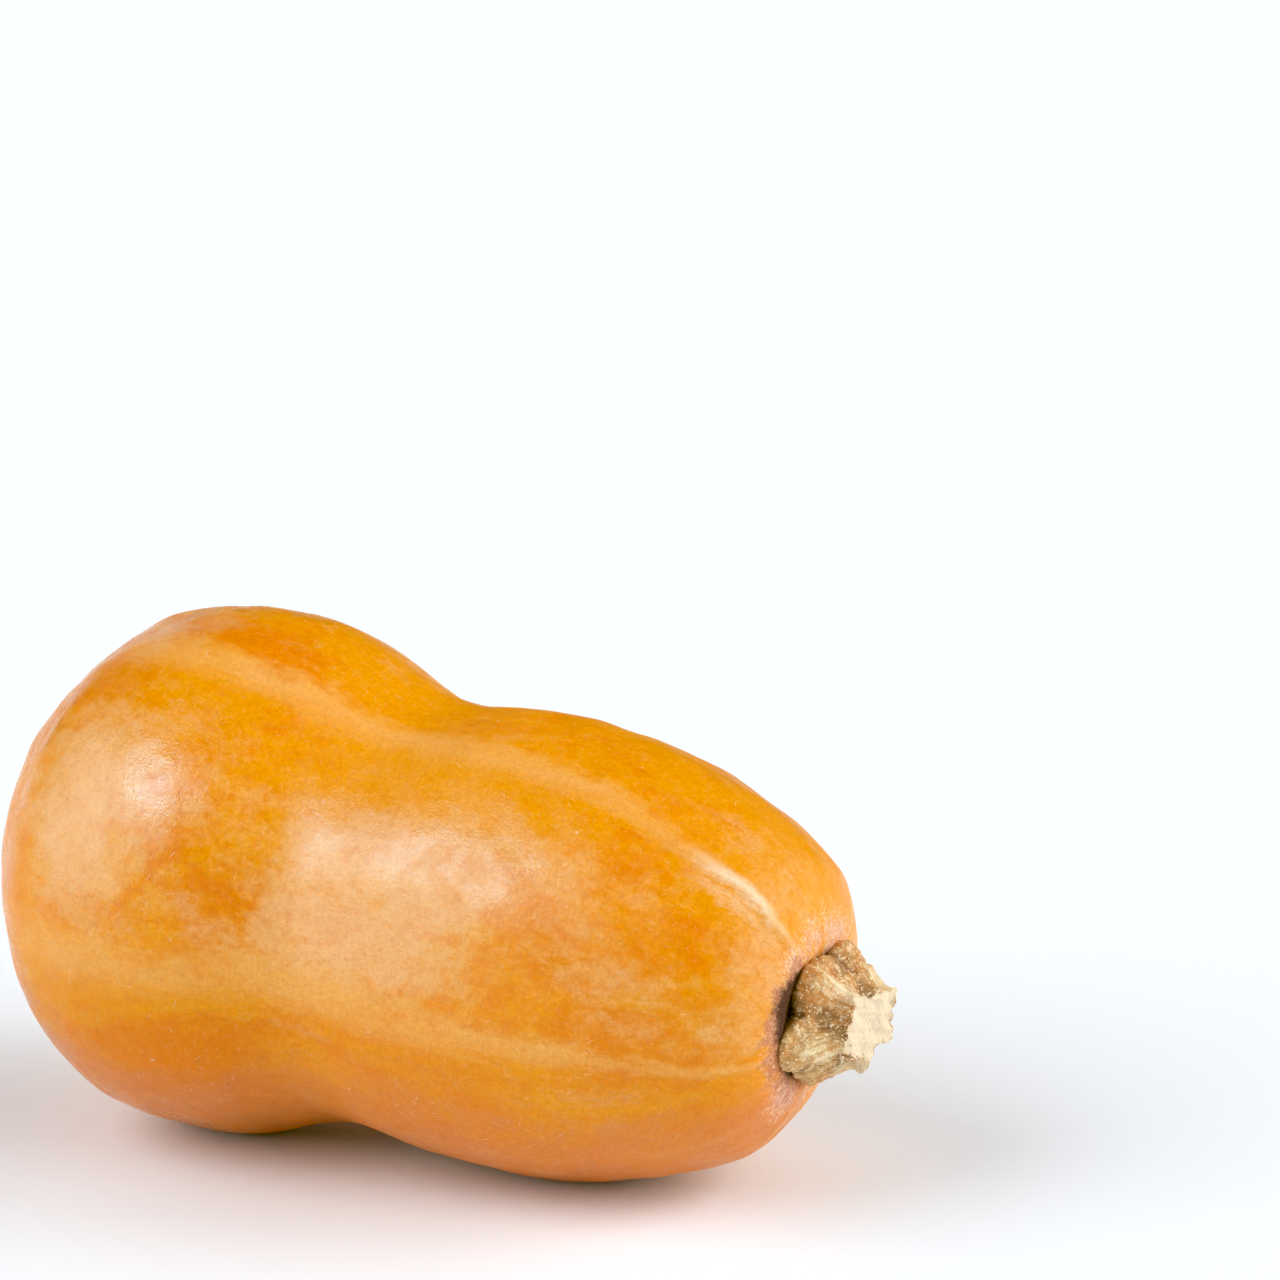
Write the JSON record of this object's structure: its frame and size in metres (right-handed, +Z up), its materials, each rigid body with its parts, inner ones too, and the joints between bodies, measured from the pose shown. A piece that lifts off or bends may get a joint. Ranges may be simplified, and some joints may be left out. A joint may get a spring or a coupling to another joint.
{
  "type": "butternut squash",
  "caption": "Whole butternut squash lying on its side, as picked, with a broad seed end, a thick neck and a short, lobed, cut stalk.",
  "frame": {"origin": "on the ground, at the bottom centre of the squash's bounding box", "axes": "+Z up, +X along the squash from the blossom end to the stalk, +Y to its far side"},
  "size_m": [0.1962, 0.1128, 0.1125],
  "materials": {
    "rind": "waxy satin rind, orange mottled with peach bloom",
    "stalk": "dry and corky, ridged, with a pale fibrous cut face"
  },
  "bodies": {
    "root": {"squash_fruit": "rind", "stalk": "stalk"}
  },
  "joints": []
}
